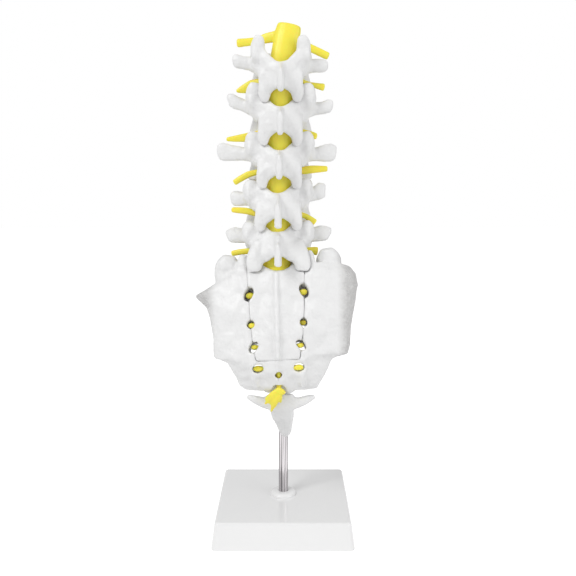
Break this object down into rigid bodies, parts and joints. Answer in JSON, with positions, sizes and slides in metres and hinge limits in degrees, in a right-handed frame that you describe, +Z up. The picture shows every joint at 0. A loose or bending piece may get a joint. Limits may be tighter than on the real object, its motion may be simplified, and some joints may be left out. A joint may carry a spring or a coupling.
{
  "type": "spine anatomy model",
  "caption": "Lumbar spine teaching model with sacrum, coccyx, discs and yellow nerve roots, threaded on an upright steel rod over a square white base.",
  "frame": {"origin": "middle of the base's underside, on the rod's axis", "axes": "+Z up along the rod, -Y towards the back of the spine (the side the picture shows), +X the spine's own right side"},
  "size_m": [0.1182, 0.1074, 0.3736],
  "materials": {
    "bone_plastic": "satin",
    "disc_plastic": "satin",
    "nerve_plastic": "satin",
    "base_plastic": "gloss",
    "cover_plastic": "matte",
    "rod_steel": "polished",
    "fastener_steel": "satin"
  },
  "bodies": {
    "root": {"base_shell": "base_plastic", "base_cover": "cover_plastic", "base_screws": "fastener_steel", "rod_collar": "base_plastic", "support_rod": "rod_steel", "rod_foot_washer": "fastener_steel", "rod_foot_nut": "fastener_steel", "rod_top_washer": "fastener_steel", "rod_top_nut": "fastener_steel", "sacrum": "bone_plastic", "sacrum_back_plate": "bone_plastic", "coccyx": "bone_plastic", "vertebra_l1": "bone_plastic", "vertebra_l2": "bone_plastic", "vertebra_l3": "bone_plastic", "vertebra_l4": "bone_plastic", "vertebra_l5": "bone_plastic", "disc_l1_l2": "disc_plastic", "disc_l2_l3": "disc_plastic", "disc_l3_l4": "disc_plastic", "disc_l4_l5": "disc_plastic", "disc_l5_s1": "disc_plastic", "cord_and_roots": "nerve_plastic"}
  },
  "joints": []
}
